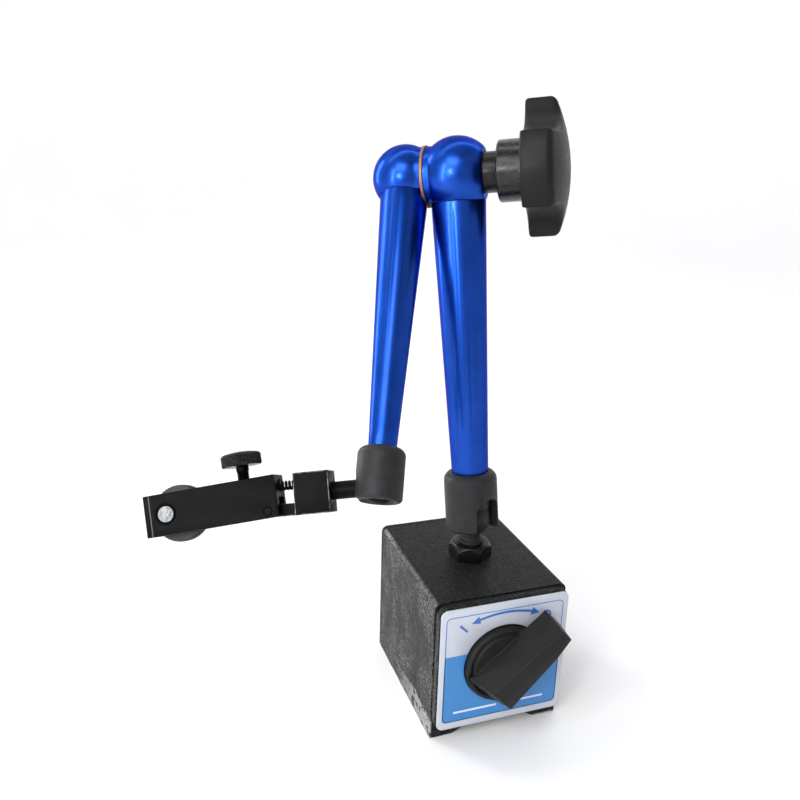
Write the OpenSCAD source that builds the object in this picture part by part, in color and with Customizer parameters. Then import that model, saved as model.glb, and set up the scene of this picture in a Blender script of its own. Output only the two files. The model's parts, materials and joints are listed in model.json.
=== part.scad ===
// Magnetic base with a centrally locked two-link arm and a fine-adjust gauge clamp.
// Units are millimetres. The origin is the middle of the foot, +Z is up and -Y is the switch side.

/* [Magnetic base] */
// Width of the iron body, left to right
base_w = 50; // [48:1:60]
// Length of the iron body, front to back
base_d = 60; // [56:1:80]
// Height of the iron body
base_h = 55; // [54:1:60]
// Height of the switch axis above the foot
switch_z = 30; // [29:0.5:31]
// Thickness of the brass plate that parts the two poles
spacer_t = 1.5; // [1:0.5:3]
// Width of the V-groove in the foot
groove_w = 33; // [24:1:34]
// Depth of the V-groove in the foot
groove_h = 9.5; // [6:0.5:10]
// Radius of the rotating magnet
rotor_r = 15; // [13:0.5:15]

/* [Front and back covers] */
// Width and height of the front cover
cover_size = 49.2; // [48.8:0.1:49.4]
// Thickness of the front cover
cover_t = 3.5; // [3:0.5:4]
// Width and height of the label plate
label_size = 48.2; // [46:0.1:48.2]
// Thickness of the back cover
back_t = 2.5; // [2:0.5:4]

/* [Switch knob] */
// Radius of the knob disc
knob_r = 14.5; // [13:0.5:15]
// Distance from the switch axis to the tip of the handle
handle_tip = 23.5; // [20:0.5:24]
// Height of the handle above the front cover
handle_h = 13.8; // [10:0.2:16]

/* [Post and ball] */
// Height of the lower ball's centre above the foot
ball_z = 71; // [71:0.5:75]
// Distance of the post behind the middle of the foot, negative is in front
stud_y = -1.5; // [-2:0.5:2]
// Radius of the lower ball
ball_r = 7; // [6.8:0.1:7]
// Width across flats of the lock nut
nut_af = 14; // [13:0.5:17]

/* [Lower arm] */
// Distance from the lower ball to the elbow
arm1_len = 122.6; // [110:0.2:160]
// Radius of the tube at the elbow end
tube1_r_top = 9.4; // [9:0.1:9.5]
// Radius of the tube at the socket end
tube1_r_low = 6.7; // [6.6:0.1:7.2]
// Radius of the elbow ball
elbow1_r = 12.8; // [12.7:0.1:13.4]

/* [Upper arm] */
// Distance from the elbow to the upper ball
arm2_len = 107.8; // [100:0.2:150]
// Radius of the tube at the elbow end
tube2_r_top = 8.2; // [8:0.1:8.4]
// Radius of the tube at the socket end
tube2_r_low = 4.5; // [4.4:0.1:5]
// Radius of the elbow ball
elbow2_r = 11.4; // [11.4:0.1:12]
// Radius of the upper ball
ball2_r = 5.5; // [5.4:0.1:5.5]

/* [Elbow lock] */
// Distance between the two elbow balls' centres
elbow_gap = 18.1; // [18:0.1:20]
// Outer radius of the star knob
star_r = 22.2; // [21:0.2:24]
// Number of lobes on the star knob
star_lobes = 3; // [3:1:4]
// Thickness of the friction washer between the arms
washer_t = 1; // [1:0.1:1.2]

/* [Gauge clamp] */
// Height of the rear block and the clamp bar
head_h = 13; // [13:0.5:15]
// Depth of the rear block and the clamp bar
head_d = 11; // [11:0.5:14]
// Length of the clamp bar
bar_len = 42.3; // [42:0.1:50]
// Radius of the bore for the gauge stem
stem_r = 4; // [3:0.5:4]
// Radius of the knurled clamp knob
clamp_knob_r = 9.3; // [8:0.1:10]

/* [Pose at rest] */
// Compass direction of the lower socket's slot
slot_turn = -69.3; // [-180:0.1:180]
// Lean of the lower arm towards its slot, negative is away from it
arm1_lean = -7.6; // [-12:0.1:60]
// Direction of the elbow axis round the lower arm, from the slot
elbow_turn = 35.3; // [-180:0.1:180]
// Angle between the two arms
fold_angle = 29.6; // [10:0.1:170]
// Direction of the upper socket's slot round the upper arm
slot2_turn = -172.4; // [-180:0.1:180]
// Angle between the clamp's rod and the upper arm's axis
rod_lean = 81.4; // [60:0.1:90]
// Roll of the clamp head round its rod
head_roll = -10.5; // [-180:0.1:180]
// Droop of the clamp bar at its fine-adjust hinge
bar_droop = 4.3; // [0:0.1:5]
// Angle of the switch handle, 45 is off and 135 is on
switch_turn = 43; // [40:1:50]

/* [Hidden] */
$fn = 96;
eps = 0.01;
fit = 0.05;            // radial clearance of a running fit
face_gap = 0.05;       // gap between faces that turn on each other

// Magnetic base
front_y = -base_d / 2;
back_y = base_d / 2;
pole_end_y = back_y - back_t;
body_edge_r = 2.5;
bore_r = rotor_r + 0.5;
rotor_y0 = -25;
rotor_y1 = 23;
spindle_r = 4;
magnet_half_t = 8;
screw_x = 19.5;
screw_z = [10.5, 49.5];
screw_r = 1.5;
screw_head_r = 2.8;
screw_head_h = 1.6;
screw_len = 9;
cover_r = 4;
cover_z = 30;
label_t = 0.5;
cover_y = front_y - cover_t;
knob_y = cover_y - 0.15;
handle_root = 2.5;
handle_tail = -12;
root_half_w = 6.4;
tip_half_w = 5;
drive_w = 5.6;
drive_len = 6.5;
grub_z = 5;
stop_r = 1.25;
stop_ring_r = 10.5;
stop_slack = 8;

// Post
stud_r = 4;
stud_end_z = 46.8;
nut_h = 5.8;
neck_r = 3.65;
collar_r = 4.6;
collar_z = base_h + nut_h;

// Sockets: [outer radius, top, rim, shoulder radius, bore radius, seat height, slot width, slot centre]
socket1 = [9.75, 17.7, -4.2, 3.2, 6, 10.5, 10.6, 3.2];
socket2 = [7.6, 12.2, -4.8, 2.6, 3.8, 8.5, 6.4, 1];
lip1 = -4;
lip2 = -3.3;
mouth_flare = 0.8;
seat_gap = 0.15;
rod1_r = 3;
rod2_r = 2;

// Elbow
washer_face = 10;
boss_r = 10;
knob_flat = 9.5;
bolt_r = 4;
bush_r = 6.8;
bush_inner = -1.5;
bush_outer = 14.3;
bush_cone_r = 4.5;
bush_cone_end = 4;
head2_face = elbow_gap - washer_face - washer_t - face_gap;
spigot1_r = 7;
spigot2_r = 6;
spigot_len = 10;
washer_r = boss_r + 0.4;
relief_r = washer_r + 0.4;
hub_r = 10.2;
hub_end = 23.6;
star_end = 37.7;
insert_r = 6.5;
insert_end = 32;
lobe_turn = -87;
valley_cut_r = 15;
valley_r = 15.5;
dome_r = 57.6;

// Gauge clamp, measured along the rod from the upper ball
rod_r = 2.8;
rod_len = 14.6;
block_len = 11.1;
block_end = rod_len + block_len;
rod_end = rod_len + 8;
gap_w = 5;
bar_start = block_end + gap_w;
bar_end = bar_start + bar_len;
pivot_x = bar_start + 3.3;
pivot_z = -4.5;
pivot_r = 1.25;
tongue_end = bar_start + 16.3;
tongue_top = -2.6;
tongue_half_w = 2.6;
pocket_end = tongue_end + 2;
pocket_top = -0.6;
spring_z = 3;
spring_r = 1.5;
spring_x0 = block_end - 2.8;
spring_x1 = bar_start + 2;
thumb_x = bar_start + 11;
thumb_r = 2;
thumb_tip_z = -1.85;
thumb_neck_z = head_h / 2 + 4.4;
thumb_head_r = 6.4;
thumb_head_h = 4.7;
stem_x = bar_start + 25.3;
slit_w = 1.4;
clamp_x = bar_end - 6.8;
clamp_r = 2.45;
clamp_knob_t = 5;
clamp_knob_y = -head_d / 2 - 0.1;

// Colours
black_paint = [0.12, 0.12, 0.13];
black_steel = [0.07, 0.07, 0.08];
black_plastic = [0.09, 0.09, 0.1];
blue_anodised = [0.03, 0.12, 0.7];
steel = [0.7, 0.7, 0.72];
brass = [0.78, 0.62, 0.3];
copper = [0.72, 0.42, 0.3];
ferrite = [0.2, 0.2, 0.22];
label_white = [0.8, 0.82, 0.88];

// ---------------------------------------------------------------- placing

// Lower ball: +Z runs up the lower arm and +X points out of the slot
module at_lower_ball() {
    translate([0, stud_y, ball_z]) rotate([0, arm1_lean, slot_turn]) children();
}

// Elbow on the lower arm: +X runs along the elbow axis to the star knob
module at_elbow() {
    at_lower_ball() translate([0, 0, arm1_len]) rotate([0, 0, elbow_turn]) children();
}

// Elbow on the upper arm: +Z runs from the upper ball to the elbow
module at_upper_elbow() {
    at_elbow() translate([-elbow_gap, 0, 0]) rotate([-fold_angle, 0, 0]) children();
}

// Upper ball: +Z runs up the upper arm and +X points out of the slot
module at_upper_ball() {
    at_upper_elbow() translate([0, 0, -arm2_len]) rotate([0, 0, slot2_turn]) children();
}

// Rod: +X runs out along the rod
module at_rod() {
    at_upper_ball() rotate([0, 90 - rod_lean, 0]) children();
}

// Clamp head: the rod's frame, rolled so that +Z is the head's own up
module at_head() {
    at_rod() rotate([head_roll, 0, 0]) children();
}

// Clamp bar: the head's frame, drooped about the fine-adjust hinge
module at_bar() {
    at_head() translate([pivot_x, 0, pivot_z]) rotate([0, bar_droop, 0])
        translate([-pivot_x, 0, -pivot_z]) children();
}

// ---------------------------------------------------------------- helpers

// Square with true round corners
module rounded_square(w, h, r) {
    square([w - 2 * r, h], center = true);
    square([w, h - 2 * r], center = true);
    for (x = [-1, 1], y = [-1, 1])
        translate([x * (w / 2 - r), y * (h / 2 - r)]) circle(r = r);
}

// Stands an outline upright in the XZ plane, from y0 back over a length
module upright(y0, length) {
    translate([0, y0 + length, 0]) rotate([90, 0, 0]) linear_extrude(length) children();
}

// Cylinder along +Y from y0 to y1
module y_cylinder(y0, y1, r) {
    translate([0, y0, 0]) rotate([-90, 0, 0]) cylinder(r = r, h = y1 - y0);
}

// Cylinder or cone along +X from x0 to x1
module x_cone(x0, x1, r0, r1) {
    translate([x0, 0, 0]) rotate([0, 90, 0]) cylinder(r1 = r0, r2 = r1, h = x1 - x0);
}

// Countersunk screw along +Y with its head at y0
module countersunk(y0, length, r, head_r, head_h) {
    translate([0, y0, 0]) rotate([-90, 0, 0]) {
        cylinder(r1 = head_r, r2 = r, h = head_h);
        cylinder(r = r, h = length);
    }
}

// Places one child at each of the four cover screws
module at_cover_screws() {
    for (x = [-screw_x, screw_x], z = screw_z) translate([x, 0, z]) children();
}

// Outline of the iron body, seen from the front
module body_outline() {
    difference() {
        union() {
            translate([0, base_h / 2]) rounded_square(base_w, base_h, body_edge_r);
            translate([-base_w / 2, 0]) square([base_w, base_h / 2]);
        }
        groove_outline();
    }
}

module groove_outline() {
    half = groove_w / 2 * (groove_h + 1) / groove_h;
    polygon([[-half, -1], [0, groove_h], [half, -1]]);
}

// ---------------------------------------------------------------- magnetic base

// One iron pole, on the side given as -1 or 1
module pole(side) {
    difference() {
        upright(front_y, pole_end_y - front_y) difference() {
            intersection() {
                body_outline();
                translate([side * (spacer_t / 2 + base_w / 2), base_h / 2])
                    square([base_w, base_h], center = true);
            }
            translate([0, switch_z]) circle(r = bore_r);
        }
        translate([0, stud_y, stud_end_z - 0.3]) cylinder(r = stud_r + fit, h = base_h);
        at_cover_screws() {
            y_cylinder(front_y - 1, cover_y + screw_len, screw_r);
            y_cylinder(back_y - screw_len, back_y, screw_r);
        }
    }
}

// The brass plate between the poles, above or below the magnet
module brass_plate(z0, z1) {
    difference() {
        upright(front_y, pole_end_y - front_y) intersection() {
            difference() {
                body_outline();
                translate([0, switch_z]) circle(r = bore_r);
            }
            translate([-spacer_t / 2, z0]) square([spacer_t, z1 - z0]);
        }
        translate([0, stud_y, stud_end_z - 0.3]) cylinder(r = stud_r + fit, h = base_h);
    }
}

module pole_left() { color(black_paint) pole(-1); }
module pole_right() { color(black_paint) pole(1); }
module brass_spacer_upper() { color(brass) brass_plate(switch_z, base_h); }
module brass_spacer_lower() { color(brass) brass_plate(0, switch_z); }

module front_cover() {
    color(black_paint) difference() {
        upright(cover_y, cover_t) translate([0, cover_z]) rounded_square(cover_size, cover_size, cover_r);
        translate([0, 0, switch_z]) y_cylinder(cover_y - 1, front_y + 1, spindle_r + fit);
        translate([0, 0, switch_z]) rotate([0, -switch_turn, 0]) translate([0, 0, stop_ring_r])
            y_cylinder(cover_y - 1, front_y + 1, stop_r);
        at_cover_screws() {
            y_cylinder(cover_y - 1, front_y + 1, screw_r);
            countersunk(cover_y, cover_t, screw_r, screw_head_r, screw_head_h);
            y_cylinder(cover_y - 1, cover_y, screw_head_r);
        }
    }
}

module front_cover_screws() {
    color(steel) at_cover_screws() countersunk(cover_y, screw_len, screw_r, screw_head_r, screw_head_h);
}

module back_cover() {
    color(black_paint) difference() {
        upright(pole_end_y, back_t) body_outline();
        translate([0, 0, switch_z]) y_cylinder(pole_end_y - 1, back_y - 0.7, 3 + fit);
        at_cover_screws() mirror([0, 1, 0]) {
            y_cylinder(-back_y - 1, -pole_end_y + 1, screw_r);
            countersunk(-back_y, back_t, screw_r, screw_head_r, screw_head_h);
            y_cylinder(-back_y - 1, -back_y, screw_head_r);
        }
    }
}

module back_cover_screws() {
    color(steel) at_cover_screws() mirror([0, 1, 0])
        countersunk(-back_y, screw_len, screw_r, screw_head_r, screw_head_h);
}

module label_plate() {
    color(label_white) upright(cover_y - label_t, label_t) difference() {
        translate([0, cover_z]) rounded_square(label_size, label_size, 2.6);
        translate([0, switch_z]) circle(r = knob_r + 0.4);
    }
}

// Pin in the front cover that runs in an arc groove behind the knob
module stop_pin() {
    color(steel) translate([0, 0, switch_z]) rotate([0, -switch_turn, 0]) translate([0, 0, stop_ring_r])
        y_cylinder(cover_y - 1.6, front_y, stop_r);
}

// ---------------------------------------------------------------- switch

// The magnet and its two iron segments share this drum, which lies on its side when off
module drum() {
    y_cylinder(rotor_y0, rotor_y1, rotor_r);
}

module at_switch() {
    translate([0, 0, switch_z]) children();
}

module rotor_magnet() {
    color(ferrite) at_switch() difference() {
        intersection() {
            drum();
            cube([base_w, base_d, 2 * magnet_half_t], center = true);
        }
        y_cylinder(rotor_y0 - 1, rotor_y1 + 1, spindle_r);
    }
}

module rotor_pole_segments() {
    color(steel) at_switch() difference() {
        drum();
        cube([base_w, base_d, 2 * magnet_half_t], center = true);
    }
}

module rotor_spindle() {
    color(steel) at_switch() {
        y_cylinder(cover_y, rotor_y1, spindle_r);
        y_cylinder(front_y + 0.3, rotor_y0, spindle_r + 3);
        y_cylinder(rotor_y1, back_y - 1, 3);
        rotate([0, 90 - switch_turn, 0]) translate([0, cover_y - drive_len / 2, 0])
            cube([drive_w, drive_len + eps, drive_w], center = true);
    }
}

// Everything on the inner side of one sloping flank, through a point on the handle's root
module flank(side, x, half_w, taper, slope) {
    translate([x, side * half_w, handle_root]) rotate([side * slope, 0, -side * taper])
        translate([-base_w, side > 0 ? -base_d : 0, -base_w]) cube([2 * base_w, base_d, 2 * base_w]);
}

// Pointer handle: wide at the tail and narrow at the tip, which points along +X
module handle() {
    intersection() {
        upright(-knob_r, 2 * knob_r)
            polygon([[handle_tail, handle_root], [handle_tip, handle_root], [handle_tip - 0.5, handle_h],
                [handle_tail + 3.7, handle_h]]);
        flank(-1, 0, root_half_w, 3.2, 9.3);
        flank(1, 0, root_half_w, 3.2, 9.3);
        flank(-1, handle_tip, tip_half_w, 10.6, 14.1);
        flank(1, handle_tip, tip_half_w, 10.6, 14.1);
    }
}

// Knob in its own frame: +Z leaves the front cover and +X runs to the handle's tip
module knob_shape() {
    difference() {
        union() {
            rotate_extrude() polygon([[0, 0], [knob_r, 0], [knob_r, 2.2], [knob_r - 0.6, 2.8],
                [knob_r - 1.6, 2.8], [knob_r - 1.9, 2.1], [knob_r - 2.6, 2.1], [knob_r - 3, 3], [0, 3]]);
            handle();
        }
        translate([0, 0, drive_len / 2 - 0.5]) cube([drive_w + 0.1, drive_w + 0.1, drive_len + 1.2], center = true);
        grub_hole(-13, -drive_w / 2);
        rotate([0, 0, -stop_slack]) rotate_extrude(angle = 90 + 2 * stop_slack)
            translate([stop_ring_r - 1.5, -1]) square([3, 2.9]);
    }
}

// Space of the grub screw, which comes in from the handle's tail
module grub_hole(x0, x1) {
    translate([0, 0, grub_z]) x_cone(x0, x1, 2, 2);
}

module at_knob() {
    at_switch() translate([0, knob_y, 0]) rotate([90, 0, 0]) rotate([0, 0, switch_turn]) children();
}

module switch_knob() { color(black_plastic) at_knob() knob_shape(); }

module knob_grub_screw() {
    color(black_steel) at_knob() difference() {
        grub_hole(-9.5, -drive_w / 2 - 0.1);
        translate([-9.6, 0, grub_z]) rotate([0, 90, 0]) cylinder(r = 1.1, h = 2, $fn = 6);
    }
}

// ---------------------------------------------------------------- post and ball

module stud_nut() {
    color(black_steel) translate([0, stud_y, base_h]) rotate([0, 0, -25]) difference() {
        intersection() {
            cylinder(r = nut_af / sqrt(3), h = nut_h, $fn = 6);
            cylinder(r1 = nut_af * 0.75, r2 = nut_af * 0.48, h = nut_h);
        }
        translate([0, 0, -1]) cylinder(r = stud_r + fit, h = nut_h + 2);
    }
}

module ball_stud() {
    color(black_steel) translate([0, stud_y, 0]) {
        translate([0, 0, ball_z]) sphere(r = ball_r);
        translate([0, 0, collar_z]) cylinder(r = neck_r, h = ball_z - collar_z - 4);
        translate([0, 0, collar_z + face_gap]) cylinder(r = collar_r, h = 1.2);
        translate([0, 0, stud_end_z]) cylinder(r = stud_r, h = collar_z + 0.5 - stud_end_z);
    }
}

// ---------------------------------------------------------------- arms

// Half outline of a ball socket about its own axis
module socket_half(s, cavity_r, lip) {
    difference() {
        union() {
            translate([0, s[2] + 1.4]) square([s[0], s[1] - s[3] - s[2] - 1.4]);
            translate([0, s[2]]) square([s[0] - 1.4, s[1] - s[3] - s[2]]);
            translate([s[0] - 1.4, s[2] + 1.4]) circle(r = 1.4);
            translate([s[0] - s[3], s[1] - s[3]]) circle(r = s[3]);
            translate([0, s[2] + 1]) square([s[0] - s[3], s[1] - s[2] - 1]);
        }
        translate([-cavity_r, s[2] - 2]) square([cavity_r, s[1] - s[2] + 4]);
        circle(r = cavity_r);
        mouth_r = sqrt(cavity_r * cavity_r - lip * lip);
        polygon([[0, lip], [mouth_r, lip], [mouth_r + (lip - s[2]) * mouth_flare, s[2]], [0, s[2]]]);
        square([cavity_r, s[5]]);
        translate([0, s[5] - 1]) square([s[4], s[1]]);
    }
}

// Socket with a slot on its +X side that lets the neck tip over
module socket(s, cavity_r, lip) {
    difference() {
        rotate_extrude() intersection() {
            socket_half(s, cavity_r, lip);
            translate([0, s[2] - 1]) square([s[0] + 1, s[1] - s[2] + 2]);
        }
        translate([0, -s[6] / 2, s[2] - 1]) cube([s[0] + 1, s[6], s[7] - s[2] + 1]);
        translate([0, 0, s[7]]) x_cone(0, s[0] + 1, s[6] / 2, s[6] / 2);
    }
}

// Cup that presses on the ball from inside the socket
module ball_seat(z0, z1, r, cup_r, rod_hole_r) {
    difference() {
        translate([0, 0, z0]) cylinder(r = r, h = z1 - z0);
        sphere(r = cup_r);
        translate([0, 0, z1 - 1.5]) cylinder(r = rod_hole_r, h = 3);
    }
}

// Tapered tube with a spigot below and a socketed top
module arm_tube(z_low, z_top, r_low, r_top, spigot_r, spigot_low, bore_low, bore_top, plug_r) {
    difference() {
        union() {
            translate([0, 0, z_low]) cylinder(r1 = r_low, r2 = r_top, h = z_top - z_low);
            translate([0, 0, spigot_low]) cylinder(r = spigot_r, h = z_low - spigot_low + 1);
        }
        translate([0, 0, spigot_low - 1]) cylinder(r = bore_low, h = z_low - spigot_low + 2);
        translate([0, 0, z_low]) cylinder(r1 = bore_low, r2 = bore_top, h = z_top - spigot_len - z_low);
        translate([0, 0, z_top - spigot_len - eps]) cylinder(r = plug_r, h = spigot_len + 1);
    }
}

// Depth below an elbow ball's centre at which its tube begins
function seam(ball, tube) = sqrt(ball * ball - tube * tube);
seam1 = seam(elbow1_r, tube1_r_top);
seam2 = seam(elbow2_r, tube2_r_top);

// Elbow ball turned about the elbow axis, with a boss up to the face and a flat at the far side
module turned_ball(r, side, face, far) {
    rotate([0, side * 90, 0]) rotate_extrude() intersection() {
        union() {
            circle(r = r);
            square([boss_r, face]);
        }
        translate([0, -far]) square([2 * r, far + face]);
    }
}

// Elbow ball cut off at its tube, with the spigot that enters the tube
module elbow_ball(r, side, face, far, seam_h, plug_r) {
    difference() {
        turned_ball(r, side, face, far);
        translate([-2 * r, -2 * r, -seam_h - 2 * r]) cube([4 * r, 4 * r, 2 * r]);
    }
    translate([0, 0, -seam_h - spigot_len]) cylinder(r = plug_r, h = spigot_len + 1);
}

module lower_socket() { color(black_steel) at_lower_ball() socket(socket1, ball_r + seat_gap, lip1); }

module lower_arm_tube() {
    color(blue_anodised) at_lower_ball()
        arm_tube(socket1[1], arm1_len - seam1, tube1_r_low, tube1_r_top, socket1[4], socket1[5],
            rod1_r + 1.2, spigot1_r - 0.6, spigot1_r);
}

module lower_elbow_head() {
    color(blue_anodised) at_elbow() difference() {
        elbow_ball(elbow1_r, -1, washer_face, knob_flat, seam1, spigot1_r);
        x_cone(-3, knob_flat + 1, bush_r + fit, bush_r + fit);
        x_cone(-washer_face - 1, 0, bolt_r + fit, bolt_r + fit);
        translate([0, 0, -seam1 - spigot_len - 1]) cylinder(r = rod1_r + 0.1, h = seam1 + spigot_len + 1);
    }
}

module elbow_washer() {
    color(copper) at_elbow() difference() {
        x_cone(-washer_face - washer_t, -washer_face, washer_r, washer_r);
        x_cone(-washer_face - washer_t - 1, 0, bolt_r + fit, bolt_r + fit);
    }
}

module lower_ball_seat() {
    color(steel) at_lower_ball()
        ball_seat(4.2, 9.5, ball_r + seat_gap - 0.1, ball_r + 0.02, rod1_r);
}

// Rod with one flat end on its seat and one round end on the wedge
module push_rod(z0, round_z, r) {
    translate([0, 0, z0]) cylinder(r = r, h = round_z - z0);
    translate([0, 0, round_z]) sphere(r = r);
}

module lower_push_rod() { color(steel) at_lower_ball() push_rod(8, arm1_len - 8.6, rod1_r); }

// Bush under the star knob: its inner cone wedges the lower push rod
module wedge_bush() {
    color(black_steel) at_elbow() difference() {
        union() {
            x_cone(bush_cone_end, bush_outer, bush_r, bush_r);
            x_cone(bush_inner, bush_cone_end, bush_cone_r, bush_r);
        }
        x_cone(bush_inner - 1, bush_outer + 1, bolt_r + fit, bolt_r + fit);
    }
}

module star_outline() {
    difference() {
        circle(r = star_r);
        for (i = [0 : star_lobes - 1]) rotate((i + 0.5) * 360 / star_lobes)
            translate([valley_r + valley_cut_r, 0]) circle(r = valley_cut_r);
    }
}

module at_star() {
    at_elbow() rotate([lobe_turn, 0, 0]) rotate([0, 90, 0]) children();
}

module star_knob() {
    color(black_plastic) at_star() difference() {
        union() {
            translate([0, 0, bush_outer + face_gap]) cylinder(r = hub_r, h = hub_end - bush_outer);
            intersection() {
                translate([0, 0, hub_end]) linear_extrude(star_end - hub_end) star_outline();
                translate([0, 0, star_end - dome_r]) sphere(r = dome_r);
            }
        }
        translate([0, 0, bush_outer - 1]) cylinder(r = insert_r, h = insert_end - bush_outer + 1);
    }
}

module knob_insert() {
    color(brass) at_star() difference() {
        translate([0, 0, bush_outer + face_gap]) cylinder(r = insert_r, h = insert_end - bush_outer - face_gap);
        translate([0, 0, bush_outer - 1]) cylinder(r = bolt_r + fit, h = insert_end - bush_outer);
    }
}

// Bolt that draws the elbow together: its cone wedges the upper push rod
module draw_bolt() {
    color(steel) at_elbow() {
        translate([-elbow_gap, 0, 0]) {
            x_cone(-7, -5, 6.9, 6.9);
            x_cone(-5, 2, 6.9, bolt_r);
        }
        x_cone(-elbow_gap + 2 - eps, insert_end - 2, bolt_r, bolt_r);
    }
}

module upper_elbow_head() {
    color(blue_anodised) at_upper_elbow() difference() {
        elbow_ball(elbow2_r, 1, head2_face, elbow2_r + 1, seam2, spigot2_r);
        x_cone(-8, head2_face + 1, 7, 7);
        translate([0, 0, -seam2 - spigot_len - 1]) cylinder(r = rod2_r + 0.1, h = seam2 + spigot_len + 1);
    }
}

module at_upper_arm() {
    at_upper_elbow() translate([0, 0, -arm2_len]) children();
}

// The tube's top is relieved on the side that turns against the washer
module upper_arm_tube() {
    color(blue_anodised) at_upper_arm() difference() {
        arm_tube(socket2[1], arm2_len - seam2, tube2_r_low, tube2_r_top, socket2[4], socket2[5],
            rod2_r + 0.8, spigot2_r - 0.6, spigot2_r);
        translate([0, 0, arm2_len]) x_cone(head2_face, 2 * head2_face, relief_r, relief_r);
    }
}

module upper_socket() { color(black_steel) at_upper_ball() socket(socket2, ball2_r + 0.1, lip2); }

module upper_ball_seat() {
    color(steel) at_upper_arm() ball_seat(3.4, 7.6, ball2_r, ball2_r + 0.02, rod2_r);
}

module upper_push_rod() { color(steel) at_upper_arm() push_rod(6.1, arm2_len - 7.3, rod2_r); }

// ---------------------------------------------------------------- gauge clamp

module ball_rod() {
    color(black_steel) at_rod() {
        sphere(r = ball2_r);
        x_cone(2, rod_end, rod_r, rod_r);
    }
}

// Block on the rod, with the tongue that the fine-adjust screw presses on
module rear_block() {
    color(black_steel) at_head() difference() {
        union() {
            translate([rod_len, -head_d / 2, -head_h / 2]) cube([block_len, head_d, head_h]);
            translate([block_end - 1, -tongue_half_w, -head_h / 2])
                cube([tongue_end - block_end + 1, 2 * tongue_half_w, tongue_top + head_h / 2]);
        }
        x_cone(rod_len - 1, rod_end + 0.5, rod_r + fit, rod_r + fit);
        translate([pivot_x, 0, pivot_z]) y_cylinder(-head_d, head_d, pivot_r + fit);
        translate([0, 0, spring_z]) x_cone(spring_x0, block_end + 1, spring_r + 0.3, spring_r + 0.3);
    }
}

module preload_spring() {
    color(steel) at_head() translate([0, 0, spring_z]) x_cone(spring_x0, spring_x1, spring_r, spring_r);
}

module clamp_bar() {
    color(black_steel) at_bar() difference() {
        translate([bar_start, -head_d / 2, -head_h / 2]) cube([bar_len, head_d, head_h]);
        // pocket for the tongue
        translate([bar_start - 1, -tongue_half_w - 0.3, -head_h])
            cube([pocket_end - bar_start + 1, 2 * tongue_half_w + 0.6, head_h + pocket_top]);
        translate([pivot_x, 0, pivot_z]) y_cylinder(-head_d, head_d, pivot_r);
        translate([0, 0, spring_z]) x_cone(bar_start - 1, spring_x1 + 1.2, spring_r + 0.5, spring_r + 0.5);
        translate([thumb_x, 0, -head_h / 2 + 1]) cylinder(r = thumb_r + fit, h = head_h);
        // stem bore and the slit that lets it close
        translate([stem_x, 0, -head_h]) cylinder(r = stem_r, h = 2 * head_h);
        translate([stem_x, -slit_w / 2, -head_h]) cube([bar_len, slit_w, 2 * head_h]);
        translate([clamp_x, 0, 0]) {
            y_cylinder(0, head_d, clamp_r + fit);
            y_cylinder(-head_d, 0, clamp_r + 0.25);
            translate([0, head_d / 2 - 0.7, 0]) rotate([-90, 0, 0])
                cylinder(r1 = clamp_r + fit, r2 = clamp_r + 1, h = 0.8);
        }
    }
}

module hinge_pin() {
    color(steel) at_bar() translate([pivot_x, 0, pivot_z]) y_cylinder(-head_d / 2, head_d / 2, pivot_r);
}

module thumb_screw() {
    color(black_steel) at_bar() translate([thumb_x, 0, thumb_tip_z]) {
        cylinder(r1 = 1, r2 = thumb_r, h = 1);
        translate([0, 0, 1]) cylinder(r = thumb_r, h = thumb_neck_z - thumb_tip_z - 1);
        cylinder(r = 1.4, h = thumb_neck_z + 3 - thumb_tip_z);
    }
}

module thumb_knob() {
    color(black_steel) at_bar() translate([thumb_x, 0, thumb_neck_z + face_gap]) difference() {
        intersection() {
            cylinder(r = thumb_head_r, h = thumb_head_h);
            translate([0, 0, thumb_head_h - 22]) sphere(r = 22);
        }
        translate([0, 0, -1]) cylinder(r = 1.4 + fit, h = 4.1);
    }
}

// Screw across the slit: its front end is peened over into a dome
module clamp_screw() {
    color(steel) at_bar() translate([clamp_x, 0, 0]) {
        y_cylinder(clamp_knob_y, head_d / 2, clamp_r);
        y_cylinder(clamp_knob_y - 3.5, clamp_knob_y + 1, 1.9);
        intersection() {
            y_cylinder(head_d / 2 - 1, head_d / 2 + 1, clamp_r);
            translate([0, head_d / 2 - 4.6, 0]) sphere(r = 5.2);
        }
    }
}

module clamp_knob() {
    color(black_steel) at_bar() translate([clamp_x, 0, 0]) difference() {
        y_cylinder(clamp_knob_y - clamp_knob_t, clamp_knob_y - face_gap, clamp_knob_r);
        y_cylinder(clamp_knob_y - 3.6, clamp_knob_y + 1, 1.9 + fit);
    }
}

// ---------------------------------------------------------------- nodes

pole_left();
pole_right();
brass_spacer_upper();
brass_spacer_lower();
front_cover();
front_cover_screws();
back_cover();
back_cover_screws();
label_plate();
stop_pin();
stud_nut();
rotor_magnet();
rotor_pole_segments();
rotor_spindle();
switch_knob();
knob_grub_screw();
ball_stud();
lower_socket();
lower_arm_tube();
lower_elbow_head();
elbow_washer();
lower_ball_seat();
lower_push_rod();
wedge_bush();
star_knob();
knob_insert();
draw_bolt();
upper_elbow_head();
upper_arm_tube();
upper_socket();
upper_ball_seat();
upper_push_rod();
ball_rod();
rear_block();
preload_spring();
clamp_bar();
hinge_pin();
thumb_screw();
thumb_knob();
clamp_screw();
clamp_knob();
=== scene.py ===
"""Looks of the magnetic gauge stand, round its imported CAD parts. Lengths are in metres."""

import json
import math

import bmesh
import bpy
from mathutils import Matrix, Vector


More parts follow.
